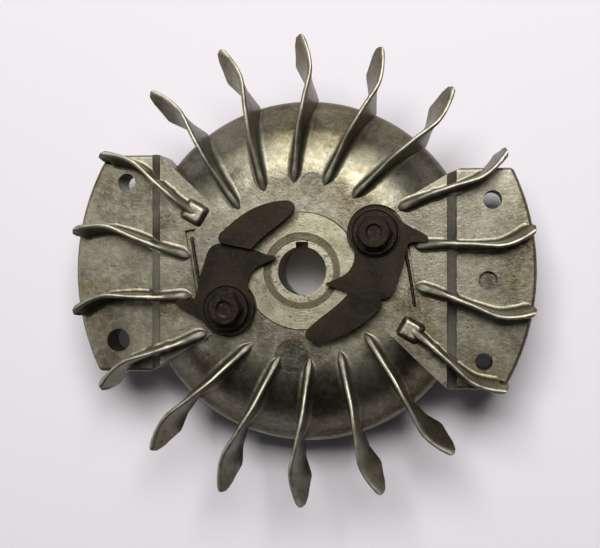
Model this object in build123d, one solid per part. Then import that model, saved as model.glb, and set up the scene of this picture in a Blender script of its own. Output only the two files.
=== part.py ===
from build123d import *
from math import cos, radians, sin, tan
import os

# Fan flywheel of a small two-stroke engine, with its two centrifugal starter pawls.
# Origin on the crankshaft axis at the back of the hub, +Z towards the starter side.
# Plan angles are measured from +X; the magnet wing is the one at +X.

# ---- driving dimensions, mm and degrees ----
TIP_R = 60.0            # blade tip circle, 120 mm diameter
BLADES = 18
BLADE_PITCH = 360.0 / BLADES
WING_R = 59.6           # outer arc of both wings, the coil runs just outside it
WING_Z = 25.0           # wing platform
WING_BACK_Z = 12.5
WING_AXIS = -3.0        # centre line of the magnet wing
RIM_R = 44.9
RIM_BACK_Z = 14.0
WEB_Z = 27.2
WEB_R = 24.0
HUB_R = 15.2
HUB_FACE_Z = 27.7
SHELL = 3.2

INSERT_R = 9.86         # cast-in steel hub
INSERT_TOP_Z = 27.3
SEAT_R = 8.05           # recess worn by a 16 mm washer
SEAT_Z = 26.8
BORE_SMALL_R = 6.2
BORE_LAND = 4.0         # straight land at the small end of the taper
BORE_BIG_R = 7.4
KEY_W = 3.2
KEY_DEPTH = 1.3

PIVOT_X = 18.9          # pawl pivot nearest +X; the other one is diametrically opposite
PIVOT_Y = 9.6
POST_R = 5.2
POST_Z = 27.3
POCKET_R = 7.4
POCKET_Z = 24.6
BOSS_R = 9.4
BOSS_BACK_Z = 14.0
THREAD_R = 2.5
THREAD_END_Z = 17.0

WASHER_T = 0.5
PAWL_T = 2.4
PAWL_GAP = 0.1          # axial running clearance each side of a pawl
PAWL_EYE_R = 6.85
SLEEVE_R = 3.90
PAWL_BORE_R = 3.95
CLAMP_R = 2.55          # inside of washers and sleeve, slipping over the 5 mm screw

HOLE_R = 51.7           # radius at which the four wing holes sit
HOLE_HALF = 23.5        # half the angle between the two holes of a wing

THRUST_Z = POST_Z
PAWL_Z = THRUST_Z + WASHER_T + PAWL_GAP
SLEEVE_Z = THRUST_Z + WASHER_T
SLEEVE_T = PAWL_T + 2 * PAWL_GAP
COVER_Z = SLEEVE_Z + SLEEVE_T
HEAD_Z = COVER_Z + WASHER_T

os.makedirs("parts", exist_ok=True)


def disc(radius, z_low, z_high, x=0.0, y=0.0):
    """Upright cylinder between two heights."""
    body = Cylinder(radius, z_high - z_low, align=(Align.CENTER, Align.CENTER, Align.MIN))
    return Pos(x, y, z_low) * body


def ring(outer, inner, z_low, z_high, x=0.0, y=0.0):
    """Upright tube between two heights."""
    return disc(outer, z_low, z_high, x, y) - disc(inner, z_low - 1, z_high + 1, x, y)


def turned(points_and_edges):
    """Solid of revolution about Z from edges drawn in the XZ plane."""
    return revolve(make_face(points_and_edges), Axis.Z, 360)


def half_turn(shape):
    """The same shape on the other side of the crank axis."""
    return Rot(0, 0, 180) * shape


def save(shape, node):
    """One file per separate piece."""
    shape.label = node
    export_step(shape, "parts/" + node + ".step")


# ---------------------------------------------------------------- hub insert
# Turned steel bush, cast into the aluminium.  Tapered bore, open keyway,
# washer seat at the nut end and two shallow grooves that lock it in the casting.
TAPER_Z = SEAT_Z - BORE_LAND
GROOVE_R = 9.1
GROOVE_W = 3.0
groove_at = (7.0, 17.0)

bush = disc(INSERT_R, 0, INSERT_TOP_Z)
for z_groove in groove_at:
    bush -= ring(INSERT_R + 1, GROOVE_R, z_groove, z_groove + GROOVE_W)
bush_outside = bush
bush -= disc(SEAT_R, SEAT_Z, INSERT_TOP_Z + 1)
bush -= disc(BORE_SMALL_R, TAPER_Z - 0.5, SEAT_Z + 1)
bush -= Cone(BORE_BIG_R, BORE_SMALL_R, TAPER_Z, align=(Align.CENTER, Align.CENTER, Align.MIN))
keyway = Box(KEY_W, BORE_SMALL_R + KEY_DEPTH, SEAT_Z + 2, align=(Align.CENTER, Align.MIN, Align.MIN))
bush -= Pos(0, 0, -1) * keyway
hub_insert = bush
save(hub_insert, "hub_insert")


# ------------------------------------------------------------------- casting
# Die-cast dish: flat web, domed shoulder, open back, thick hub and pivot bosses.
dome_outer = Spline((WEB_R, WEB_Z), (33.0, 25.5), (38.5, 21.9), (42.8, 17.4), (RIM_R, RIM_BACK_Z),
                    tangents=((1, 0), (0.12, -1)))
dome_inner = Spline((41.6, RIM_BACK_Z), (39.4, 16.6), (35.6, 20.1), (31.5, 22.4), (WEB_R - 1, WEB_Z - SHELL),
                    tangents=((-0.12, 1), (-1, 0)))


def xz(edge):
    """Turn an edge drawn in radius and height up into the XZ plane."""
    return Plane.XZ * edge


def line_xz(*points):
    return xz(Polyline(*points))


dish = turned([
    line_xz((INSERT_R - 2, 0), (INSERT_R - 2, HUB_FACE_Z), (HUB_R - 0.3, HUB_FACE_Z),
            (HUB_R, WEB_Z), (WEB_R, WEB_Z)),
    xz(dome_outer),
    line_xz((RIM_R, RIM_BACK_Z), (41.6, RIM_BACK_Z)),
    xz(dome_inner),
    line_xz((WEB_R - 1, WEB_Z - SHELL), (14.2, WEB_Z - SHELL), (13.0, 0.6), (12.4, 0), (INSERT_R - 2, 0)),
])
cavity = turned([
    line_xz((0.0, RIM_BACK_Z - 6), (41.6, RIM_BACK_Z - 6), (41.6, RIM_BACK_Z)),
    xz(dome_inner),
    line_xz((WEB_R - 1, WEB_Z - SHELL), (0.0, WEB_Z - SHELL), (0.0, RIM_BACK_Z - 6)),
])

# Each wing is a slab level with the web near the hub, a short ramp down and a
# flat platform out to the arc.  Its sides run beside the blades, then parallel to X.
LEAD_Y = 26.2
TRAIL_Y = -30.2
lead_x = (WING_R ** 2 - LEAD_Y ** 2) ** 0.5
trail_x = (WING_R ** 2 - TRAIL_Y ** 2) ** 0.5
wing_plan = make_face([
    Polyline((18, -12), (23.8, -17.5), (37.0, -30.0), (38.2, TRAIL_Y), (trail_x, TRAIL_Y)),
    ThreePointArc((trail_x, TRAIL_Y), (WING_R, 0), (lead_x, LEAD_Y)),
    Polyline((lead_x, LEAD_Y), (40.4, LEAD_Y), (37.5, 24.8), (27.4, 18.8), (20, 14.2), (18, -12)),
])
RAMP_IN = 36.9
RAMP_OUT = 39.4
wing_block = Pos(0, 0, WING_BACK_Z) * extrude(wing_plan, WEB_Z - WING_BACK_Z)
over_ramp = ((RAMP_IN, WEB_Z), (RAMP_OUT, WING_Z), (70, WING_Z), (70, WEB_Z + 2), (RAMP_IN, WEB_Z + 2))
ramp = Plane.XZ * make_face(Polyline(*over_ramp, close=True))
inner_slab = wing_block - extrude(ramp, 60, both=True)
inner_slab &= Box(RAMP_OUT, 90, 60, align=(Align.MIN, Align.CENTER, Align.CENTER))
outer_half = Box(40, 90, 2 * WING_Z, align=(Align.MIN, Align.CENTER, Align.CENTER))
platform = wing_block & Pos(RAMP_OUT - 1.2, 0, 0) * outer_half
corners = platform.edges().filter_by(Axis.Z).sort_by(Axis.X)[-2:]
platform = fillet(corners, 1.3)
round_edges = platform.edges().filter_by(GeomType.CIRCLE)
arc_top = [e for e in round_edges if e.radius > 50 and e.center().Z > WING_Z - 1]
platform = fillet(arc_top, 1.0)
wing_slab = inner_slab + platform

body = dish + wing_slab + half_turn(wing_slab)
hub_core = disc(14.2, 0, WEB_Z - SHELL + 1)
body -= cavity - hub_core


pivot_boss = disc(BOSS_R, BOSS_BACK_Z, WEB_Z - 0.5, PIVOT_X, PIVOT_Y)
body += pivot_boss
body += half_turn(pivot_boss)

# Blades.  Every blade is one twisted, tapering rib: the crest bows clockwise and
# hooks back at the tip, the foot swings the other way outside the rim.
# Stations are radii; offsets are clockwise from the blade's own radial line.
CREST_HALF = 0.6
DRAFT = 2.3
FOOT_Z = 14.0
stations = (22.5, 27.0, 32.0, 36.5, 41.0, 44.5, 48.0, 51.0, 54.0, 57.0, 60.5)
crest_offset = (-2.1, -1.6, -1.0, -0.5, 0.4, 1.1, 2.0, 2.6, 2.4, 1.6, 0.1)
open_foot_offset = (-2.1, -1.5, -0.6, 0.2, 1.2, 1.9, 1.0, -1.7, -5.2, -8.1, -9.0)
wing_foot_offset = (-2.1, -1.5, -0.6, 0.2, 1.2, 1.9, 1.5, 0.7, -1.3, -3.6, -4.2)
open_crest_z = (28.3, 29.2, 30.6, 31.9, 32.5, 32.4, 32.2, 32.0, 31.7, 31.4, 31.0)
wing_crest_z = (28.6, 28.7, 29.0, 31.4, 32.3, 32.3, 32.2, 32.0, 31.7, 31.4, 31.0)


def blade_section(radius, crest, foot, crest_z):
    """Tapered rib section standing across the radial line, with a round crest."""
    base = FOOT_Z - 1.0
    spread = CREST_HALF + (crest_z - base) * tan(radians(DRAFT))
    shoulder = crest_z - CREST_HALF
    low_y = -(foot + (foot - crest) * 1.0 / (crest_z - FOOT_Z))
    across = Plane(origin=(radius, 0, 0), x_dir=(0, 1, 0), z_dir=(1, 0, 0))
    left = (-crest - CREST_HALF, shoulder)
    right = (-crest + CREST_HALF, shoulder)
    outline = [
        Polyline(left, (low_y - spread, base), (low_y + spread, base), right),
        ThreePointArc(right, (-crest, crest_z), left),
    ]
    return across * make_face(outline)


def blade(crest_z, foot_offset, side_view):
    """Loft the rib through its stations and trim it to its side view."""
    sections = [blade_section(*s) for s in zip(stations, crest_offset, foot_offset, crest_z)]
    rib = loft(sections)
    trim = Plane.XZ * make_face(Polyline(*side_view, side_view[0]))
    return rib & extrude(trim, 12, both=True)


# Side views: root buried in the shell, then the free end below the tip.
open_side = ((23.2, 26.2), (32.0, 24.4), (37.0, 20.9), (41.5, 16.4), (44.0, FOOT_Z), (45.3, FOOT_Z),
             (52.6, 22.0), (TIP_R, 30.2), (TIP_R, 35), (24.4, 35), (23.6, 27.6))
wing_side = ((29.2, 25.5), (36.0, 22.0), (58.6, 22.0), (59.3, WING_Z), (TIP_R, 30.2), (TIP_R, 35),
             (29.8, 35), (29.4, 27.6))
open_blade = blade(open_crest_z, open_foot_offset, open_side)
wing_blade = blade(wing_crest_z, wing_foot_offset, wing_side)

wing_blade_at = [10.0, -10.0, 30.0, -30.0]
open_blade_at = [50.0, 70.0, 90.0, 110.0, 130.0]
ribs = [Rot(0, 0, a + h) * wing_blade for a in wing_blade_at for h in (0, 180)]
ribs += [Rot(0, 0, a + h) * open_blade for a in open_blade_at for h in (0, 180)]
for rib in ribs:
    body += rib

# Square ejector pads closing the inner ends of the blades at -30 and 150 degrees.
PAD_R = 31.6
PAD_W = 4.6
PAD_Z = 28.9
pad = Pos(PAD_R, 0.9, WEB_Z - 2) * Box(PAD_W + 0.6, PAD_W, PAD_Z - WEB_Z + 2,
                                      align=(Align.CENTER, Align.CENTER, Align.MIN))
pad = chamfer(pad.edges().filter_by(Axis.Z), 0.8)
pad = chamfer(pad.faces().sort_by(Axis.Z)[-1].edges(), 0.35)
body += Rot(0, 0, -30) * pad
body += Rot(0, 0, 150) * pad

# Pockets for the pawl springs: a ring round the pivot post and a slot for the
# straight leg, with a wider end where the leg is sprung in.
LEG_X = -7.0
LEG_Y = -0.4
LEG_TIP = (-10.1, 19.6)
LEG_Z = 26.45
SLOT_Z = 25.8
slot_len = ((LEG_TIP[0] - LEG_X) ** 2 + (LEG_TIP[1] - LEG_Y) ** 2) ** 0.5
leg_lean = 8.86
slot = Box(2.0, slot_len, 6, align=(Align.CENTER, Align.MIN, Align.MIN))
slot += Pos(0, slot_len - 5.0, 0) * Box(2.6, 5.6, 6, align=(Align.CENTER, Align.MIN, Align.MIN))
slot = Pos(LEG_X, LEG_Y, SLOT_Z) * Rot(0, 0, leg_lean) * slot
spring_room = ring(POCKET_R, POST_R, POCKET_Z, 40) + disc(POST_R + 1, POST_Z, 40)
spring_room += slot
thread_hole = disc(THREAD_R, THREAD_END_Z, 40)
at_pawl_b = Pos(-PIVOT_X, -PIVOT_Y, 0)
pawl_seat = at_pawl_b * (spring_room + thread_hole)
body -= pawl_seat
body -= half_turn(pawl_seat)


def polar(radius, angle):
    return radius * cos(radians(angle)), radius * sin(radians(angle))


# Cored holes through the wings, in line with the laminations on the magnet side.
# The 6 mm one has been opened out to balance the wheel.
wing_holes = {
    WING_AXIS + HOLE_HALF: 2.40,
    WING_AXIS - HOLE_HALF: 2.20,
    WING_AXIS + 180 - HOLE_HALF: 2.30,
    WING_AXIS + 180 + HOLE_HALF: 3.00,
}
for angle, radius in wing_holes.items():
    body -= disc(radius, WING_BACK_Z - 1, WING_Z + 1, *polar(HOLE_R, angle))
core_pin = disc(2.45, WING_Z - 1.8, WING_Z + 1, *polar(47.4, WING_AXIS))
body -= core_pin

# Plain round ejector and insert marks in the web, 0.25 mm deep.
body -= disc(3.3, WEB_Z - 0.25, WEB_Z + 1, 2.8, 22.0)
body -= ring(4.35, 3.5, WEB_Z - 0.25, WEB_Z + 1, -2.6, -22.0)

# ------------------------------------------------- cast-in magnet and weights
# Two laminated pole shoes with a magnet between them, flush with the arc and
# with the back of the wing; the other wing carries a plain iron weight.
SHOE_TOP_Z = 21.5
MAGNET_HALF = 7.5
SHOE_OUT = 24.0
SHOE_IN_R = 43.6


def wing_prism(points, z_low, z_high, turn):
    """Prism drawn in wing axes (outwards, across) and kept inside the arc."""
    prism = Pos(0, 0, z_low) * extrude(make_face(Polyline(*points, points[0])), z_high - z_low)
    prism = prism & disc(WING_R, z_low, z_high)
    return Rot(0, 0, WING_AXIS + turn) * prism


lead_points = ((SHOE_IN_R, MAGNET_HALF), (62, MAGNET_HALF), (62, 22.0))
lead_points += ((55.0, SHOE_OUT), (SHOE_IN_R, SHOE_OUT))
trail_points = tuple((u, -v) for u, v in lead_points)
magnet_points = ((SHOE_IN_R, -MAGNET_HALF), (54.0, -MAGNET_HALF))
magnet_points += ((54.0, MAGNET_HALF), (SHOE_IN_R, MAGNET_HALF))
weight_points = ((44.0, -9.0), (56.5, -9.0), (56.5, 9.0), (44.0, 9.0))

shoe_leading = wing_prism(lead_points, WING_BACK_Z, SHOE_TOP_Z, 0)
shoe_trailing = wing_prism(trail_points, WING_BACK_Z, SHOE_TOP_Z, 0)
magnet = wing_prism(magnet_points, WING_BACK_Z + 0.6, SHOE_TOP_Z, 0)
counterweight = wing_prism(weight_points, WING_BACK_Z, 19.0, 180)

shoe_leading -= disc(2.40, WING_BACK_Z - 1, WING_Z, *polar(HOLE_R, WING_AXIS + HOLE_HALF))
shoe_trailing -= disc(2.20, WING_BACK_Z - 1, WING_Z, *polar(HOLE_R, WING_AXIS - HOLE_HALF))

# Each lamination pack is held by two flush rivets.
RIVET_R = 1.5
rivet_at = ((46.6, 11.0), (56.0, 11.5))
rivets_leading = [disc(RIVET_R, WING_BACK_Z, SHOE_TOP_Z, u, v) for u, v in rivet_at]
rivets_trailing = [disc(RIVET_R, WING_BACK_Z, SHOE_TOP_Z, u, -v) for u, v in rivet_at]
rivets_leading = Compound(children=[Rot(0, 0, WING_AXIS) * r for r in rivets_leading])
rivets_trailing = Compound(children=[Rot(0, 0, WING_AXIS) * r for r in rivets_trailing])
for rivet in rivets_leading.solids():
    shoe_leading -= rivet
for rivet in rivets_trailing.solids():
    shoe_trailing -= rivet

shoe_room = wing_prism(lead_points, WING_BACK_Z - 1, SHOE_TOP_Z, 0)
shoe_room += wing_prism(trail_points, WING_BACK_Z - 1, SHOE_TOP_Z, 0)
shoe_room += wing_prism(magnet_points, WING_BACK_Z - 1, SHOE_TOP_Z, 0)
body -= shoe_room
body -= wing_prism(weight_points, WING_BACK_Z - 1, 19.0, 180)
body -= bush_outside
body -= disc(INSERT_R, INSERT_TOP_Z - 0.1, HUB_FACE_Z + 1)

save(shoe_leading, "pole_shoe_leading")
save(shoe_trailing, "pole_shoe_trailing")
save(rivets_leading, "pole_rivets_leading")
save(rivets_trailing, "pole_rivets_trailing")
save(magnet, "magnet")
save(counterweight, "counterweight")
flywheel_casting = body.solids().sort_by(SortBy.VOLUME)[-1]
save(flywheel_casting, "flywheel_casting")

# --------------------------------------------------------------------- pawls
# Flat steel lever: eye, hook reaching in over the hub, stop lug pointing out,
# and a tail set up by nearly its own thickness so it clears the blade crests.
# Drawn for the pawl at (-PIVOT_X, -PIVOT_Y), round its own pivot.
TAIL_SET = 2.2
NECK = 2.4

body_plan = make_face([
    ThreePointArc((-5.75, -3.72), (3.43, -5.93), (5.55, 4.0)),
    Spline((5.55, 4.0), (5.25, 6.2), (5.9, 8.5), (7.4, 10.3), (9.8, 11.6), (12.0, 12.6)),
    ThreePointArc((12.0, 12.6), (12.45, 13.05), (12.1, 13.3)),
    Spline((12.1, 13.3), (10.4, 13.7), (8.5, 14.4), (6.5, 15.1)),
    Polyline((6.5, 15.1), (5.6, 17.2), (-0.6, 18.2), (-1.4, 16.7), (-2.2, 16.6)),
    Spline((-2.2, 16.6), (-4.4, 15.4), (-5.9, 11.6), (-7.2, 7.6), (-7.8, 4.4), (-8.4, 2.7)),
    Spline((-8.4, 2.7), (-9.9, 2.3), (-12.4, 2.4)),
    ThreePointArc((-12.4, 2.4), (-13.3, 1.5), (-12.7, 0.5)),
    Spline((-12.7, 0.5), (-10.9, -0.5), (-8.4, -1.8), (-5.75, -3.72)),
])
tail_plan = make_face([
    Polyline((-1.4, 16.7), (6.5, 15.1)),
    Spline((6.5, 15.1), (9.3, 18.0), (13.6, 21.4), (16.9, 24.3)),
    ThreePointArc((16.9, 24.3), (17.3, 26.3), (15.6, 27.4)),
    Spline((15.6, 27.4), (10.6, 26.7), (6.3, 25.0), (2.4, 22.4), (-0.6, 19.8)),
    ThreePointArc((-0.6, 19.8), (-1.8, 18.3), (-1.4, 16.7)),
])
pawl = Pos(0, 0, PAWL_Z) * extrude(body_plan, PAWL_T)
pawl += Pos(0, 0, PAWL_Z + TAIL_SET) * extrude(tail_plan, PAWL_T)
pawl -= disc(PAWL_BORE_R, PAWL_Z - 1, PAWL_Z + PAWL_T + 1)
pawl_b = at_pawl_b * pawl
save(pawl_b, "pawl_b")
save(half_turn(pawl_b), "pawl_a")

# ------------------------------------------------- pivot hardware, both pawls
HEX_AF = 8.0
FLANGE_R = 5.9
FLANGE_T = 1.1
HEX_T = 3.6

thrust_washer = ring(6.3, CLAMP_R, THRUST_Z, THRUST_Z + WASHER_T)
sleeve = ring(SLEEVE_R, CLAMP_R, SLEEVE_Z, SLEEVE_Z + SLEEVE_T)
cover_washer = ring(6.25, CLAMP_R, COVER_Z, COVER_Z + WASHER_T)

head = disc(FLANGE_R, HEAD_Z, HEAD_Z + FLANGE_T)
head = chamfer(head.faces().sort_by(Axis.Z)[-1].edges(), 0.45)
hex_prism = extrude(RegularPolygon(HEX_AF / 2, 6, major_radius=False, rotation=0), HEX_T)
hex_prism = Pos(0, 0, HEAD_Z + FLANGE_T - 0.05) * hex_prism
crown = disc(HEX_AF / 2 * 1.155, HEAD_Z, HEAD_Z + FLANGE_T + HEX_T)
crown = chamfer(crown.faces().sort_by(Axis.Z)[-1].edges(), 0.75, 1.0)
head += hex_prism & crown
head_dimple = Cone(1.6, 2.4, 0.4, align=(Align.CENTER, Align.CENTER, Align.MIN))
head -= Pos(0, 0, HEAD_Z + FLANGE_T + HEX_T - 0.35) * head_dimple
shank = disc(THREAD_R, THREAD_END_Z + 1.0, HEAD_Z + 0.5)
shank = chamfer(shank.faces().sort_by(Axis.Z)[0].edges(), 0.5)
bolt = head + shank

for shape, node in ((thrust_washer, "thrust_washer"), (sleeve, "pivot_sleeve"),
                    (cover_washer, "cover_washer"), (bolt, "pivot_bolt")):
    placed = at_pawl_b * shape
    save(placed, node + "_b")
    save(half_turn(placed), node + "_a")

# ------------------------------------------------------------- pawl springs
# Round wire: two and a half turns round the post, ending in the straight leg
# that lies in the slot.
WIRE_R = 0.4
COIL_R = 6.2
TURNS = 2.5
PITCH = 0.92
COIL_Z = POCKET_Z + WIRE_R + 0.1
END_ANGLE = 180.0 + 3.0
coil = []
steps = 60
for i in range(steps + 1):
    turn = TURNS * i / steps
    theta = radians(END_ANGLE + 360.0 * (TURNS - turn))
    height = COIL_Z + min(PITCH * turn, LEG_Z - COIL_Z)
    coil.append((COIL_R * cos(theta), COIL_R * sin(theta), height))
leg_run = [(-7.2, 3.0, LEG_Z), (-7.95, 6.5, LEG_Z), (-8.95, 12.5, LEG_Z), (-9.85, 18.4, LEG_Z)]
wire_path = Spline(*coil, *leg_run)
wire = sweep(Plane(origin=wire_path @ 0, z_dir=wire_path % 0) * Circle(WIRE_R), wire_path)
spring_b = at_pawl_b * wire
save(spring_b, "pawl_spring_b")
save(half_turn(spring_b), "pawl_spring_a")
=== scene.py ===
import math

import bpy
import numpy as np
from mathutils import Matrix, Vector


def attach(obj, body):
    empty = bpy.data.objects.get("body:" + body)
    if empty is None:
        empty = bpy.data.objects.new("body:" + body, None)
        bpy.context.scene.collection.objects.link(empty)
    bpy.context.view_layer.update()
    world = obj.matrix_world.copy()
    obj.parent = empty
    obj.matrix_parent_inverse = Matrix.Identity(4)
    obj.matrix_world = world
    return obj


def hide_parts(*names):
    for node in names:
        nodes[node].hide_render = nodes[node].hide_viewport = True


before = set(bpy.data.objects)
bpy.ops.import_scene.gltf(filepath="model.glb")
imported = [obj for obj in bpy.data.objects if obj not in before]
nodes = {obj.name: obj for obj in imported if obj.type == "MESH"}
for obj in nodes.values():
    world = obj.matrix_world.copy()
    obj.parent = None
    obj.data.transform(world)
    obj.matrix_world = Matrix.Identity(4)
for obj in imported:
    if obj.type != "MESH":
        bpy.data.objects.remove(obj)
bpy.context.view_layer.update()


# ---- flywheel casting ---------------------------------------------------------------------
# One pressure die casting in an aluminium-silicon alloy: hub, dished web, two wings and the
# eighteen fan blades. The blades are drafted, round on top and filleted into the web; it is
# left as cast, dull and oily, with brighter metal on what gets rubbed. The ramp on each wing is
# painted paler as painted light in place of the light it does not reflect, and the blade feet are
# painted darker, as painted shade in the fillets together with grime.

WEB_TOP, PLATFORM, RIM_BACK = 27.2, 25.0, 14.0
RIM_RADIUS, WING_RADIUS = 44.9, 59.6
RAMP_START, RAMP_END = 36.9, 39.4
BLADE_TIP, BLADE_DRAFT, BEAD = 60.0, math.tan(math.radians(2.3)), 0.62
OPEN_START, WING_START = 22.6, 29.2
OUT_ALONG = (22.5, 27.0, 32.0, 36.5, 41.0, 44.5, 48.0, 51.0, 54.0, 57.0, 60.5)
CREST_SWAY = (-2.1, -1.6, -1.0, -0.5, 0.4, 1.1, 2.0, 2.6, 2.4, 1.6, 0.1)
FOOT_SWAY = (-2.1, -1.5, -0.6, 0.2, 1.2, 1.9, 1.1, -1.4, -4.2, -7.4, -9.6)
OPEN_CREST = (28.3, 29.2, 30.6, 31.9, 32.5, 32.4, 32.2, 32.0, 31.7, 31.4, 31.0)
WING_CREST = (28.6, 28.7, 29.0, 31.4, 32.3, 32.3, 32.2, 32.0, 31.7, 31.4, 31.0)


def through(knots, values, at, slopes=None):
    """Smooth line through the knots: on each span the cubic that meets its neighbours in slope."""
    knots, values = np.asarray(knots, float), np.asarray(values, float)
    slope = np.gradient(values, knots) if slopes is None else np.asarray(slopes, float)
    k = np.clip(np.searchsorted(knots, at) - 1, 0, len(knots) - 2)
    span = knots[k + 1] - knots[k]
    t = np.clip((at - knots[k]) / span, 0, 1)
    left = (1 - t) ** 2 * ((1 + 2 * t) * values[k] + t * span * slope[k])
    return left + t ** 2 * ((3 - 2 * t) * values[k + 1] + (t - 1) * span * slope[k + 1])


def dish_height(radius):
    """Top of the dished web at a radius: flat, then rounding over to the rim."""
    return through((24.0, 33.0, 36.4, 38.6, 41.7, 43.8, 44.6, RIM_RADIUS),
                   (WEB_TOP, 25.5, 23.6, 21.8, 18.5, 16.5, 15.4, RIM_BACK), radius,
                   (0.0, -0.43, -0.68, -0.95, -1.0, -1.15, -2.4, -5.0))


def wing_height(x):
    """Top of a wing at a distance from the middle: level with the web, a ramp down, then the platform."""
    return np.interp(x, (RAMP_START, RAMP_END), (WEB_TOP, PLATFORM))


def on_wing(x, y, slack):
    """True where a point lies on the plan of a wing, give or take slack. The wings are half a turn apart."""
    y = np.where(x < 0, -y, y)
    x = np.abs(x)
    lead = np.interp(x, (18, 20, 27.4, 37.5, 40.4, 60), (-12, 14.2, 18.8, 24.8, 26.2, 26.2))
    trail = np.interp(x, (18, 23.8, 37.0, 38.2, 60), (-12, -17.5, -30.0, -30.2, -30.2))
    return (x > 18) & (y < lead + slack) & (y > trail - slack) & (np.hypot(x, y) < WING_RADIUS + slack)


def bare_casting():
    """The casting's own shape with its blades and pads pressed down into it. Every corner that stands above
    the top of the web and wings goes just under it, and every corner outside their plan goes inside."""
    source = nodes["flywheel_casting"].data
    loose = np.empty(len(source.vertices) * 3)
    source.vertices.foreach_get("co", loose)
    corner = np.empty(len(source.loops), int)
    source.loops.foreach_get("vertex_index", corner)
    loose = loose.reshape(-1, 3) * 1000
    _, keep, where = np.unique(np.round(loose * 1e4), axis=0, return_index=True, return_inverse=True)
    point, face = loose[keep], where.ravel()[corner].reshape(-1, 3)
    face = face[(face[:, 0] != face[:, 1]) & (face[:, 1] != face[:, 2]) & (face[:, 2] != face[:, 0])]
    x, y, z = point.T
    radius = np.hypot(x, y)
    winged = on_wing(x, y, 0.05)
    top = np.where(winged, np.maximum(wing_height(np.abs(x)), dish_height(radius)), dish_height(radius))
    outside = ~winged & (radius > RIM_RADIUS + 0.05)
    rounded = 24.0 + np.sqrt(np.clip(1 - (radius - 58.6) ** 2, 0, 1))
    above = ~outside & (radius > 21.5) & (z > top + 0.15)
    above |= ~outside & (radius > 58.6) & (z > rounded + 0.04)
    z = np.where(above, top - 1.2, z)
    x, y = (np.where(above & winged, v * np.minimum(1.0, 57.6 / radius), v) for v in (x, y))
    beside_wing = outside & (np.abs(x) > 38) & (np.abs(y) < 34)
    inward = np.where(outside & ~beside_wing, 43.4 / radius, 1.0)
    z = np.where(outside & ~beside_wing, 15.0, z)
    sign = np.where(x < 0, -1.0, 1.0)
    x, y = x * inward, y * inward
    y = np.where(beside_wing, sign * np.clip(sign * y, -29.0, 25.0), y)
    shrink = np.where(beside_wing, np.minimum(1.0, 58.0 / np.hypot(x, y)), 1.0)
    z = np.where(beside_wing, np.clip(z, 14.0, 24.4), z)
    return np.column_stack([x * shrink, y * shrink, z]), face


def blade(angle, crest, first, base, crest_half, round_root):
    """One blade as a surface of two parameters: the distance out along it, and the way round its section.
    The section stands across the blade. Its flanks widen downwards by the draft, lean from the foot line to
    the crest line, and end in a half-round crest above and a quarter-round fillet at the foot."""
    t = np.linspace(0, 1, 58)
    crowding = 0.10 * np.sin(2 * np.pi * t) / np.pi - 0.13 * np.sin(4 * np.pi * t) / (2 * np.pi)
    out = first + (BLADE_TIP - first) * (t + crowding)
    out = out[:, None]
    nose = (1 - (1 - np.clip((out - first) / 3.4, 0, 1)) ** 2) ** 0.7
    end = np.sqrt(1 - np.clip((out - BLADE_TIP + 0.9) / 0.93, 0, 1) ** 2)
    low, over_body, lower_sway = base(out)
    full = through(OUT_ALONG, crest, out)
    top = low + (full - low) * np.maximum(nose, 0.04)
    half = crest_half(out) * np.maximum(nose, 0.25) * np.maximum(end, 0.2)
    fillet = np.minimum(round_root(out), 0.75 * (top - low)) * over_body + 0.12
    shoulder = np.maximum(top - half, low + fillet * 1.02)
    step = np.array([-0.6, 0.0, 0.02, 0.08, 0.18, 0.33, 0.55, 0.8, 1.0])
    rise = np.array([0.15, 0.32, 0.5, 0.68, 0.85, 0.96])
    height = np.concatenate([low + fillet * step, low + fillet + (shoulder - low - fillet) * rise], axis=1)
    height[:, :1] = low - 0.5 * over_body
    flare = fillet * (1 - np.sqrt(1 - (1 - np.clip((height - low) / fillet, 0, 1)) ** 2))
    wide = half + BLADE_DRAFT * (shoulder - height) * end + flare * over_body
    turn = np.linspace(0, np.pi, 11)[None, :]
    cap_height = shoulder + (top - shoulder) * np.sin(turn)
    height = np.concatenate([height, cap_height, height[:, ::-1]], axis=1)
    across = np.concatenate([-wide, -half * np.cos(turn), wide[:, ::-1]], axis=1)
    crest_line = through(OUT_ALONG, CREST_SWAY, out)
    rooted = (crest_line - through(OUT_ALONG, FOOT_SWAY, out)) / (full - RIM_BACK)
    lean = np.where(out < 45.0, rooted, (crest_line - lower_sway) / (full - low))
    aside = -(crest_line - lean * (full - height)) + across
    out = np.broadcast_to(out, aside.shape)
    c, s = math.cos(math.radians(angle)), math.sin(math.radians(angle))
    point = np.stack([out * c - aside * s, out * s + aside * c, height], axis=-1)
    rows, columns = aside.shape
    at = np.arange(rows * columns).reshape(rows, columns)
    after = np.roll(at, -1, axis=1)
    face = np.stack([at[:-1], at[1:], after[1:], after[:-1]], axis=-1).reshape(-1, 4)
    ends = [at[0].tolist(), at[-1][::-1].tolist()]
    worn = np.clip(1 - (top - height) / (half + 0.35), 0, 1)
    near_root = np.clip((height - low) / 0.5, 0, 1) * over_body
    near_root = near_root * np.clip(1 - (height - low - 0.5) / 3.6, 0, 1)
    return point.reshape(-1, 3), face, ends, worn.ravel(), near_root.ravel()


def open_base(out):
    """Where an open blade starts: on the dish as far as the rim, then its own free lower edge."""
    free = np.interp(out, (45.3, 52.6, BLADE_TIP), (RIM_BACK, 22.0, 30.2))
    sway = np.interp(out, (45.0, 49.0, 52.8, 57.4, BLADE_TIP), (1.85, 0.9, -1.15, -0.9, -0.2))
    return np.where(out < 44.6, dish_height(out), free), np.clip((44.4 - out) / 7.0, 0, 1) ** 0.7, sway


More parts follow.
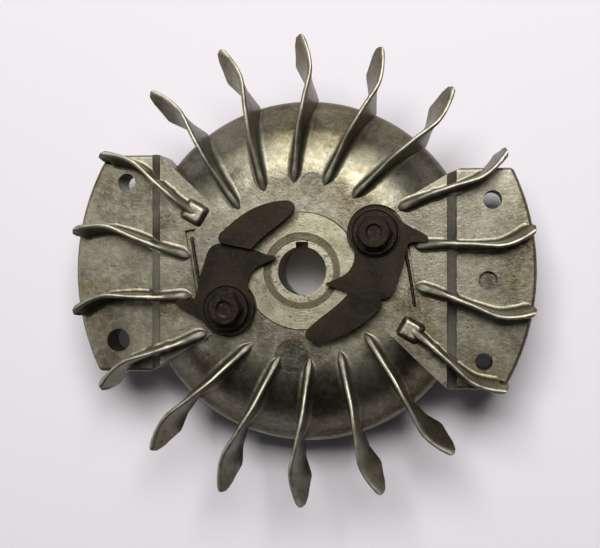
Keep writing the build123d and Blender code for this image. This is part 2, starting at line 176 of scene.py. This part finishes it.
def wing_base(slope, leaves):
    """Where a wing blade starts: on the wing, out times slope from the middle, until it leaves the wing."""
    def base(out):
        free = np.interp(out, (leaves, leaves + 0.6, 58.6, 59.3, BLADE_TIP),
                         (PLATFORM, 22.0, 22.0, 25.0, 30.2))
        free = free if leaves < 58 else np.interp(out, (59.2, BLADE_TIP), (PLATFORM, 30.2))
        inside = np.interp(out, (45, 50, 54, 57, 59), (-0.24, 0.5, 1.4, 1.9, 1.0))
        sway = through(OUT_ALONG, CREST_SWAY, out) - inside
        over_wing = np.clip((leaves - out) / 0.8, 0, 1)
        return np.where(out < leaves, wing_height(out * slope), free), over_wing, sway
    return base


def open_half(out):
    """Half the width of an open blade's crest: a little more at the root and the tip."""
    return np.interp(out, (22.8, 27, 32, 56, 59), (0.72, 0.70, BEAD, BEAD, 0.85))


def wing_half(out):
    """Half the width of a wing blade's crest: a broad low nose, a narrow bead, and a bump at the ramp."""
    bump = 0.3 * np.exp(-((out - RAMP_END) / 0.6) ** 2)
    return np.interp(out, (29.5, 34, 38, 56, 59), (1.05, 0.95, BEAD, BEAD, 0.85)) + bump


def open_root(out):
    """Fillet at an open blade's foot: small at the nose, larger down the dish."""
    return np.interp(out, (22.8, 28, 44), (0.8, 1.5, 1.7))


def wing_root(out):
    """Fillet at a wing blade's foot, kept small because the side wall of the wing is near."""
    return np.interp(out, (29.5, 36), (1.0, 0.8))


def pad(angle):
    """Square ejector pad over u and v from -1 to 1. With edge the sixth root of u^6 + v^6, it is flat up to
    an edge of 0.5 and falls from there by the square of the rest."""
    u, v = np.meshgrid(np.linspace(-1, 1, 25), np.linspace(-1, 1, 25), indexing="ij")
    edge = (np.abs(u) ** 6 + np.abs(v) ** 6) ** (1 / 6)
    dimple = 0.22 * np.exp(-((u * 2.7) ** 2 + (v * 2.4) ** 2) / 0.12) * (angle > 0)
    height = WEB_TOP - 0.3 + 1.9 * (1 - np.clip((edge - 0.5) / 0.5, 0, 1) ** 2.0) - dimple
    out, aside = 31.6 + 3.3 * u, 0.9 + 3.0 * v
    c, s = math.cos(math.radians(angle)), math.sin(math.radians(angle))
    point = np.stack([out * c - aside * s, out * s + aside * c, height], axis=-1).reshape(-1, 3)
    at = np.arange(625).reshape(25, 25)
    face = np.stack([at[:-1, :-1], at[1:, :-1], at[1:, 1:], at[:-1, 1:]], axis=-1).reshape(-1, 4)
    rim = np.concatenate([at[:, 0], at[-1, 1:], at[-2::-1, -1], at[0, -2:0:-1]])
    worn = np.clip((height - WEB_TOP - 1.2) / 0.5, 0, 1).ravel() * 0.9
    return point, face, [rim[::-1].tolist()], worn, 0 * worn


def gather(name, parts):
    """One mesh from shapes, each given as points in millimetres, faces, end faces, and how worn and how near
    a root each point is."""
    start, faces = 0, []
    for point, face, ends, _, _ in parts:
        faces += (face + start).tolist() + [[start + i for i in end] for end in ends]
        start += len(point)
    mesh = bpy.data.meshes.new(name)
    mesh.from_pydata((np.concatenate([p[0] for p in parts]) / 1000).tolist(), [], faces)
    for label, k in (("worn", 3), ("root", 4)):
        values = np.concatenate([p[k] for p in parts]).astype(np.float32)
        mesh.attributes.new(label, "FLOAT", "POINT").data.foreach_set("value", values)
    mesh.shade_smooth()
    mesh.set_sharp_from_angle(angle=math.radians(34))
    thing = bpy.data.objects.new(name, mesh)
    bpy.context.scene.collection.objects.link(thing)
    return thing


body_point, body_face = bare_casting()
flat = np.zeros(len(body_point))
parts = [(body_point, body_face, [], flat, flat)]
for half_turn in (0, 180):
    for angle in (50, 70, 90, 110, 130):
        parts.append(blade(angle + half_turn, OPEN_CREST, OPEN_START, open_base, open_half, open_root))
    for angle, leaves in ((10, 59.0), (-10, 59.0), (30, 52.2), (-30, 57.2)):
        base = wing_base(math.cos(math.radians(angle)), leaves)
        parts.append(blade(angle + half_turn, WING_CREST, WING_START, base, wing_half, wing_root))
    parts.append(pad(half_turn - 30))
casting = gather("casting", parts)


def start_finish(name, metallic, roughness):
    """A new metal finish: the material, its node tree, its shader and the object's own coordinates."""
    finish = bpy.data.materials.new(name)
    finish.use_nodes = True
    tree = finish.node_tree
    shader = tree.nodes["Principled BSDF"]
    shader.inputs["Metallic"].default_value = metallic
    shader.inputs["Roughness"].default_value = roughness
    return finish, tree, shader, tree.nodes.new("ShaderNodeTexCoord").outputs["Object"]


def cloud(tree, place, scale, low, high, detail=5.0, rough=0.6):
    """Soft blotches from 0 to 1: fractal noise of that scale, its range low..high stretched to 0..1."""
    noise = tree.nodes.new("ShaderNodeTexNoise")
    noise.inputs["Scale"].default_value = scale
    noise.inputs["Detail"].default_value = detail
    noise.inputs["Roughness"].default_value = rough
    tree.links.new(place, noise.inputs["Vector"])
    return stretched(tree, noise.outputs["Fac"], low, high)


def stretched(tree, value, low, high, first=0.0, last=1.0):
    """The value with its range low..high mapped to first..last and held there outside it."""
    span = tree.nodes.new("ShaderNodeMapRange")
    span.inputs["From Min"].default_value = low
    span.inputs["From Max"].default_value = high
    span.inputs["To Min"].default_value = first
    span.inputs["To Max"].default_value = last
    tree.links.new(value, span.inputs["Value"])
    return span.outputs["Result"]


def laid_over(tree, share, under, over):
    """The colour under where share is 0 and the colour over where it is 1. Each is a colour or a socket."""
    mix = tree.nodes.new("ShaderNodeMix")
    mix.data_type = "RGBA"
    tree.links.new(share, mix.inputs[0])
    for socket, colour in ((mix.inputs[6], under), (mix.inputs[7], over)):
        if isinstance(colour, tuple):
            socket.default_value = colour + (1.0,)
        else:
            tree.links.new(colour, socket)
    return mix.outputs[2]


def product(tree, first, second):
    """Two values from 0 to 1, multiplied."""
    times = tree.nodes.new("ShaderNodeMath")
    times.operation = "MULTIPLY"
    tree.links.new(first, times.inputs[0])
    if isinstance(second, float):
        times.inputs[1].default_value = second
    else:
        tree.links.new(second, times.inputs[1])
    return times.outputs[0]


def dented(tree, shader, layers):
    """Bumps on the surface, one on the next. Each layer is (height socket, strength, depth in metres)."""
    below = None
    for height, strength, depth in layers:
        bump = tree.nodes.new("ShaderNodeBump")
        bump.inputs["Strength"].default_value = strength
        bump.inputs["Distance"].default_value = depth
        tree.links.new(height, bump.inputs["Height"])
        if below is not None:
            tree.links.new(below, bump.inputs["Normal"])
        below = bump.outputs["Normal"]
    tree.links.new(below, shader.inputs["Normal"])


def mark(tree, name):
    """The value of one of the piece's own point attributes."""
    read = tree.nodes.new("ShaderNodeAttribute")
    read.attribute_name = name
    return read.outputs["Fac"]


def from_axis(tree, place, x=0.0, y=0.0):
    """Distance from the upright line through x, y, in metres: the crank axis if neither is given."""
    flat = tree.nodes.new("ShaderNodeVectorMath")
    flat.operation = "MULTIPLY_ADD"
    flat.inputs[1].default_value = (1, 1, 0)
    flat.inputs[2].default_value = (-x, -y, 0)
    tree.links.new(place, flat.inputs[0])
    length = tree.nodes.new("ShaderNodeVectorMath")
    length.operation = "LENGTH"
    tree.links.new(flat.outputs[0], length.inputs[0])
    return length.outputs["Value"]


def height_of(tree, place):
    """Height above the back of the hub, in metres."""
    split = tree.nodes.new("ShaderNodeSeparateXYZ")
    tree.links.new(place, split.inputs[0])
    return split.outputs["Z"]


def rings(tree, radius, pitch, low, high):
    """Turning marks: a sine of the distance from the axis, its range low..high stretched to 0..1."""
    sine = tree.nodes.new("ShaderNodeMath")
    sine.operation = "SINE"
    tree.links.new(product(tree, radius, 2 * math.pi / pitch), sine.inputs[0])
    return stretched(tree, sine.outputs[0], low, high)


def plus(tree, first, second):
    """The sum of two values."""
    both = tree.nodes.new("ShaderNodeMath")
    tree.links.new(first, both.inputs[0])
    tree.links.new(second, both.inputs[1])
    return both.outputs[0]


def ramp_painted_light(tree, place):
    """Share of the paler tint on the ramp of each wing, painted light that makes up for the dark reflection
    of the steep ramp. The ramp lies between two distances from the middle.
    """
    split = tree.nodes.new("ShaderNodeSeparateXYZ")
    tree.links.new(place, split.inputs[0])
    away = []
    for socket in ("X", "Y"):
        size = tree.nodes.new("ShaderNodeMath")
        size.operation = "ABSOLUTE"
        tree.links.new(split.outputs[socket], size.inputs[0])
        away.append(size.outputs[0])
    share = product(tree, stretched(tree, away[0], RAMP_START / 1000, RAMP_START / 1000 + 0.0006),
                    stretched(tree, away[0], RAMP_END / 1000 - 0.0006, RAMP_END / 1000, 1.0, 0.0))
    share = product(tree, share, stretched(tree, away[1], 0.0300, 0.0303, 1.0, 0.0))
    return product(tree, share, stretched(tree, split.outputs["Z"], 0.0272, 0.0276, 0.30, 0.0))


# Darker discs in the plain prints of the die: dirt, and in the recess on the wing also painted shade. x, y
# and radius in metres, then the share covered.
PRINTS = (
    (0.0028, 0.0220, 0.0034, 0.45),
    (-0.0026, -0.0220, 0.0045, 0.85),
    (0.04733, -0.00248, 0.0026, 0.8),
)

cast_finish, tree, shader, place = start_finish("cast_aluminium", 1.0, 0.4)
radius = from_axis(tree, place)
blotch = cloud(tree, place, 62.0, 0.40, 0.64)
patch = cloud(tree, place, 210.0, 0.36, 0.66, 6.0, 0.62)
oil = cloud(tree, place, 30.0, 0.48, 0.66)
speck = cloud(tree, place, 640.0, 0.46, 0.70, 5.0, 0.75)
pit = cloud(tree, place, 1150.0, 0.63, 0.72, 2.0)
colour = laid_over(tree, blotch, (0.190, 0.180, 0.133), (0.090, 0.085, 0.062))
colour = laid_over(tree, product(tree, patch, 0.55), colour, (0.088, 0.082, 0.057))
colour = laid_over(tree, product(tree, oil, 0.60), colour, (0.120, 0.090, 0.036))
smear = cloud(tree, place, 105.0, 0.55, 0.68, 6.0, 0.65)
colour = laid_over(tree, product(tree, smear, 0.45), colour, (0.29, 0.277, 0.207))
stain = cloud(tree, place, 150.0, 0.57, 0.67, 6.0, 0.68)
colour = laid_over(tree, product(tree, stain, 0.62), colour, (0.105, 0.078, 0.026))
soot = cloud(tree, place, 84.0, 0.56, 0.70, 6.0, 0.66)
colour = laid_over(tree, product(tree, soot, 0.55), colour, (0.050, 0.047, 0.034))
colour = laid_over(tree, product(tree, speck, 0.42), colour, (0.35, 0.335, 0.26))
colour = laid_over(tree, product(tree, pit, 0.75), colour, (0.034, 0.031, 0.023))
# Darker along each blade's foot: painted shade in the fillet, together with grime.
colour = laid_over(tree, product(tree, mark(tree, "root"), 0.66), colour, (0.034, 0.032, 0.024))
worn = product(tree, mark(tree, "worn"), cloud(tree, place, 380.0, 0.30, 0.62))
colour = laid_over(tree, product(tree, worn, 0.8), colour, (0.33, 0.32, 0.25))
faced = product(tree, stretched(tree, radius, 0.0150, 0.0153, 1.0, 0.0),
                stretched(tree, height_of(tree, place), 0.02745, 0.02765))
scar = cloud(tree, place, 1000.0, 0.54, 0.70, 4.0, 0.75)
faced_colour = laid_over(tree, patch, (0.30, 0.285, 0.200), (0.18, 0.167, 0.110))
faced_colour = laid_over(tree, product(tree, scar, 0.85), faced_colour, (0.085, 0.070, 0.038))
colour = laid_over(tree, faced, colour, faced_colour)
low = stretched(tree, height_of(tree, place), 0.0274, 0.0278, 1.0, 0.0)
dirt_and_shade = laid_over(tree, speck, (0.045, 0.042, 0.030), (0.125, 0.118, 0.085))
# Each print is darkened with dirt; in the wing recess the darkening is painted shade as well.
for x, y, reach, share in PRINTS:
    inside = stretched(tree, from_axis(tree, place, x, y), reach - 0.0003, reach, share, 0.0)
    colour = laid_over(tree, product(tree, inside, low), colour, dirt_and_shade)
# Painted light: the ramp is tinted paler so that it does not read as a dark band.
colour = laid_over(tree, ramp_painted_light(tree, place), colour, (0.40, 0.385, 0.30))
tree.links.new(colour, shader.inputs["Base Color"])
foot_roughness = product(tree, mark(tree, "root"), 0.22)
roughness = plus(tree, stretched(tree, blotch, 0.0, 1.0, 0.44, 0.34), foot_roughness)
roughness = plus(tree, roughness, product(tree, mark(tree, "worn"), 0.06))
tree.links.new(roughness, shader.inputs["Roughness"])
dented(tree, shader, (
    (cloud(tree, place, 1700.0, 0.2, 0.8, 3.0), 0.32, 0.00008),
    (cloud(tree, place, 420.0, 0.2, 0.8, 4.0), 0.13, 0.0002),
    (product(tree, rings(tree, radius, 0.0004, -1.0, 1.0), faced), 0.22, 0.00003),
))
casting.data.materials.append(cast_finish)
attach(casting, "wheel")
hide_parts("flywheel_casting")


# ---- hub insert ---------------------------------------------------------------------------
# A turned steel bush cast into the hub, with the crank taper and its keyway cut in it. The
# nut's washer has kept its seat bright; the ring outside the seat is brown with oil.

def coat(node, finish):
    """That CAD node wears this finish."""
    nodes[node].data.materials.clear()
    nodes[node].data.materials.append(finish)


hub_finish, tree, shader, place = start_finish("turned_hub_steel", 1.0, 0.38)
radius = from_axis(tree, place)
stain = cloud(tree, place, 240.0, 0.38, 0.66)
pits = cloud(tree, place, 1500.0, 0.52, 0.64, 3.0)
colour = laid_over(tree, stretched(tree, radius, 0.0079, 0.0082), (0.36, 0.34, 0.25), (0.105, 0.095, 0.060))
colour = laid_over(tree, stretched(tree, radius, 0.0061, 0.0063, 1.0, 0.0), colour, (0.16, 0.15, 0.13))
colour = laid_over(tree, product(tree, stain, 0.55), colour, (0.060, 0.050, 0.030))
colour = laid_over(tree, product(tree, pits, 0.8), colour, (0.035, 0.030, 0.022))
tree.links.new(colour, shader.inputs["Base Color"])
tree.links.new(stretched(tree, stain, 0.0, 1.0, 0.34, 0.50), shader.inputs["Roughness"])
dented(tree, shader, ((rings(tree, radius, 0.0003, -1.0, 1.0), 0.25, 0.00002), (pits, 0.4, -0.00005)))
coat("hub_insert", hub_finish)


# ---- pole shoes and their rivets ----------------------------------------------------------
# Two packs of thin stamped laminations, riveted together, cast into the wing and ground on
# the arc. Their edges show as fine layers one above the other.

shoe_finish, tree, shader, place = start_finish("lamination_steel", 1.0, 0.42)
layer = tree.nodes.new("ShaderNodeMath")
layer.operation = "SINE"
tree.links.new(product(tree, height_of(tree, place), 2 * math.pi / 0.0005), layer.inputs[0])
gap = stretched(tree, layer.outputs[0], 0.70, 0.98)
rust = cloud(tree, place, 180.0, 0.48, 0.66)
colour = laid_over(tree, rust, (0.24, 0.23, 0.215), (0.12, 0.065, 0.030))
colour = laid_over(tree, product(tree, gap, 0.75), colour, (0.03, 0.026, 0.022))
tree.links.new(colour, shader.inputs["Base Color"])
tree.links.new(stretched(tree, rust, 0.0, 1.0, 0.38, 0.65), shader.inputs["Roughness"])
dented(tree, shader, ((gap, 0.5, -0.00006), (cloud(tree, place, 1500.0, 0.3, 0.7, 3.0), 0.2, 0.00005)))
coat("pole_shoe_leading", shoe_finish)
coat("pole_shoe_trailing", shoe_finish)

rivet_finish, tree, shader, place = start_finish("rivet_steel", 1.0, 0.36)
dull = cloud(tree, place, 420.0, 0.40, 0.66)
tree.links.new(laid_over(tree, dull, (0.34, 0.33, 0.30), (0.14, 0.115, 0.085)), shader.inputs["Base Color"])
dented(tree, shader, ((cloud(tree, place, 1900.0, 0.3, 0.7, 3.0), 0.25, 0.00004),))
coat("pole_rivets_leading", rivet_finish)
coat("pole_rivets_trailing", rivet_finish)


# ---- magnet -------------------------------------------------------------------------------
# One cast and ground alnico block, magnetised across the wing, held between the two shoes.

magnet_finish, tree, shader, place = start_finish("magnet_alloy", 0.85, 0.5)
grain = cloud(tree, place, 520.0, 0.40, 0.65)
colour = laid_over(tree, grain, (0.115, 0.115, 0.120), (0.055, 0.052, 0.050))
tree.links.new(colour, shader.inputs["Base Color"])
tree.links.new(stretched(tree, grain, 0.0, 1.0, 0.42, 0.62), shader.inputs["Roughness"])
dented(tree, shader, ((cloud(tree, place, 1200.0, 0.3, 0.7, 4.0), 0.35, 0.00008),))
coat("magnet", magnet_finish)


# ---- counterweight ------------------------------------------------------------------------
# A block sheared from iron bar and cast into the other wing to balance the magnet.

weight_finish, tree, shader, place = start_finish("weight_iron", 0.9, 0.55)
scale = cloud(tree, place, 300.0, 0.42, 0.64)
colour = laid_over(tree, scale, (0.150, 0.140, 0.125), (0.090, 0.048, 0.024))
tree.links.new(colour, shader.inputs["Base Color"])
tree.links.new(stretched(tree, scale, 0.0, 1.0, 0.46, 0.72), shader.inputs["Roughness"])
dented(tree, shader, ((cloud(tree, place, 700.0, 0.3, 0.7, 5.0), 0.45, 0.00012),))
coat("counterweight", weight_finish)


# ---- starter pawls ------------------------------------------------------------------------
# Two dogs blanked from thick steel strip, joggled once, hardened and left dark from the oil
# quench. Their edges are broken by tumbling, and a brown bloom of rust sits on the flats.

def soften_edges(node, width):
    """The node's corners, rounded by that width in metres: its loose triangles are joined first."""
    join = nodes[node].modifiers.new("join", "WELD")
    join.merge_threshold = 1e-6
    bevel = nodes[node].modifiers.new("tumbled", "BEVEL")
    bevel.width = width
    bevel.segments = 2
    bevel.limit_method = "ANGLE"
    bevel.angle_limit = math.radians(50)
    bevel.harden_normals = False


pawl_finish, tree, shader, place = start_finish("pawl_steel", 0.85, 0.5)
bloom = cloud(tree, place, 95.0, 0.40, 0.68)
fleck = cloud(tree, place, 900.0, 0.52, 0.70, 4.0, 0.7)
colour = laid_over(tree, bloom, (0.0072, 0.0060, 0.0032), (0.0215, 0.0150, 0.0070))
colour = laid_over(tree, product(tree, fleck, 0.35), colour, (0.040, 0.030, 0.018))
tree.links.new(colour, shader.inputs["Base Color"])
tree.links.new(stretched(tree, bloom, 0.0, 1.0, 0.44, 0.58), shader.inputs["Roughness"])
dented(tree, shader, (
    (cloud(tree, place, 1500.0, 0.3, 0.7, 3.0), 0.25, 0.00005),
    (cloud(tree, place, 240.0, 0.3, 0.7, 3.0), 0.20, 0.00012),
))
for pawl in ("pawl_a", "pawl_b"):
    coat(pawl, pawl_finish)
    soften_edges(pawl, 0.00018)


# ---- washers and pivot sleeves ------------------------------------------------------------
# Blanked washers of blued strip above and below each pawl, and the ground sleeve it turns on.

washer_finish, tree, shader, place = start_finish("washer_steel", 0.95, 0.42)
wear = cloud(tree, place, 380.0, 0.42, 0.66)
colour = laid_over(tree, wear, (0.014, 0.012, 0.008), (0.040, 0.025, 0.012))
tree.links.new(colour, shader.inputs["Base Color"])
dented(tree, shader, ((cloud(tree, place, 1600.0, 0.3, 0.7, 3.0), 0.25, 0.00005),))
sleeve_finish, tree, shader, place = start_finish("sleeve_steel", 1.0, 0.3)
smear = cloud(tree, place, 500.0, 0.40, 0.66)
tree.links.new(laid_over(tree, smear, (0.30, 0.29, 0.27), (0.11, 0.09, 0.06)), shader.inputs["Base Color"])
dented(tree, shader, ((cloud(tree, place, 2200.0, 0.3, 0.7, 2.0), 0.15, 0.00003),))
for side in "ab":
    coat("thrust_washer_" + side, washer_finish)
    coat("cover_washer_" + side, washer_finish)
    coat("pivot_sleeve_" + side, sleeve_finish)
    soften_edges("cover_washer_" + side, 0.00008)


# ---- pivot screws -------------------------------------------------------------------------
# Cold-headed flange screws with a hexagon head, black oxide gone brown and orange with rust.

bolt_finish, tree, shader, place = start_finish("bolt_steel", 0.8, 0.48)
rust = cloud(tree, place, 330.0, 0.44, 0.62, 5.0, 0.7)
crust = cloud(tree, place, 1100.0, 0.52, 0.68, 4.0, 0.7)
colour = laid_over(tree, rust, (0.0058, 0.0050, 0.0027), (0.0110, 0.0072, 0.0032))
colour = laid_over(tree, product(tree, crust, 0.5), colour, (0.060, 0.029, 0.010))
tree.links.new(colour, shader.inputs["Base Color"])
tree.links.new(stretched(tree, rust, 0.0, 1.0, 0.40, 0.66), shader.inputs["Roughness"])
dented(tree, shader, ((crust, 0.4, 0.00006), (cloud(tree, place, 500.0, 0.3, 0.7, 4.0), 0.25, 0.0001)))
for screw in ("pivot_bolt_a", "pivot_bolt_b"):
    coat(screw, bolt_finish)
    soften_edges(screw, 0.00015)


# ---- pawl springs -------------------------------------------------------------------------
# Torsion springs wound from black drawn wire. The coil hides under the pawl, and the long leg
# lies in its slot in the web.

wire_finish, tree, shader, place = start_finish("spring_wire", 0.9, 0.35)
dust = cloud(tree, place, 700.0, 0.45, 0.68)
colour = laid_over(tree, dust, (0.022, 0.021, 0.020), (0.075, 0.060, 0.040))
tree.links.new(colour, shader.inputs["Base Color"])
dented(tree, shader, ((cloud(tree, place, 2500.0, 0.3, 0.7, 2.0), 0.2, 0.00003),))
coat("pawl_spring_a", wire_finish)
coat("pawl_spring_b", wire_finish)


# ---- table, lights and camera -------------------------------------------------------------
# The flywheel lies on its hub on a sheet of pale paper, under soft light from beyond its top edge.

def sheet(name, half, z):
    """A flat square of the given half side at height z: x and y run over the square."""
    corner = np.array([(-1, -1), (1, -1), (1, 1), (-1, 1)], float) * half
    mesh = bpy.data.meshes.new(name)
    mesh.from_pydata(np.column_stack([corner, np.full(4, z)]).tolist(), [], [(0, 1, 2, 3)])
    thing = bpy.data.objects.new(name, mesh)
    bpy.context.scene.collection.objects.link(thing)
    return thing


paper = sheet("paper", 1.5, 0.0)
paper_finish, tree, shader, place = start_finish("pale_paper", 0.0, 0.9)
shader.inputs["Base Color"].default_value = (0.80, 0.775, 0.80, 1.0)
paper.data.materials.append(paper_finish)


def soft_light(name, power, wide, high, spot, tint, on_paper=True):
    """A soft box at spot, facing the flywheel. Unless on_paper, it shows only as a reflection in metal."""
    lamp = bpy.data.lights.new(name, "AREA")
    lamp.shape = "RECTANGLE"
    lamp.energy = power
    lamp.size, lamp.size_y = wide, high
    lamp.color = tint
    holder = bpy.data.objects.new(name, lamp)
    holder.location = spot
    holder.rotation_euler = (-Vector(spot)).to_track_quat("-Z", "Y").to_euler()
    holder.visible_diffuse = on_paper
    bpy.context.scene.collection.objects.link(holder)


soft_light("skylight", 9.6, 0.60, 0.36, (0.03, 0.37, 0.82), (1.0, 0.985, 0.99))
soft_light("window", 9.0, 1.1, 0.40, (-0.10, 0.95, 0.62), (1.0, 0.985, 0.95), on_paper=False)
soft_light("side_window", 3.0, 0.6, 0.5, (-0.85, -0.15, 0.70), (1.0, 0.98, 0.95), on_paper=False)
soft_light("left_wall", 1.5, 1.0, 0.8, (-1.2, 0.1, 0.26), (0.93, 0.93, 1.0), on_paper=False)
soft_light("right_wall", 1.5, 1.0, 0.8, (1.2, 0.1, 0.26), (0.93, 0.93, 1.0), on_paper=False)

sky = bpy.data.worlds.new("room")
sky.use_nodes = True
sky.node_tree.nodes["Background"].inputs["Color"].default_value = (0.9, 0.9, 1.0, 1.0)
sky.node_tree.nodes["Background"].inputs["Strength"].default_value = 0.04
bpy.context.scene.world = sky
bpy.context.scene.view_settings.view_transform = "Standard"

eye = bpy.data.cameras.new("eye")
eye.lens = 82.5
eye.sensor_width = 36.0
eye_holder = bpy.data.objects.new("eye", eye)
spot = Vector((0.038, 0.0, 0.377))
back = (spot - Vector((-0.0005, -0.0008, 0.027))).normalized()
right = Vector((0, 1, 0)).cross(back).normalized()
turn = Matrix((right, back.cross(right), back)).transposed()
eye_holder.matrix_world = Matrix.Translation(spot) @ turn.to_4x4()
bpy.context.scene.collection.objects.link(eye_holder)
bpy.context.scene.camera = eye_holder
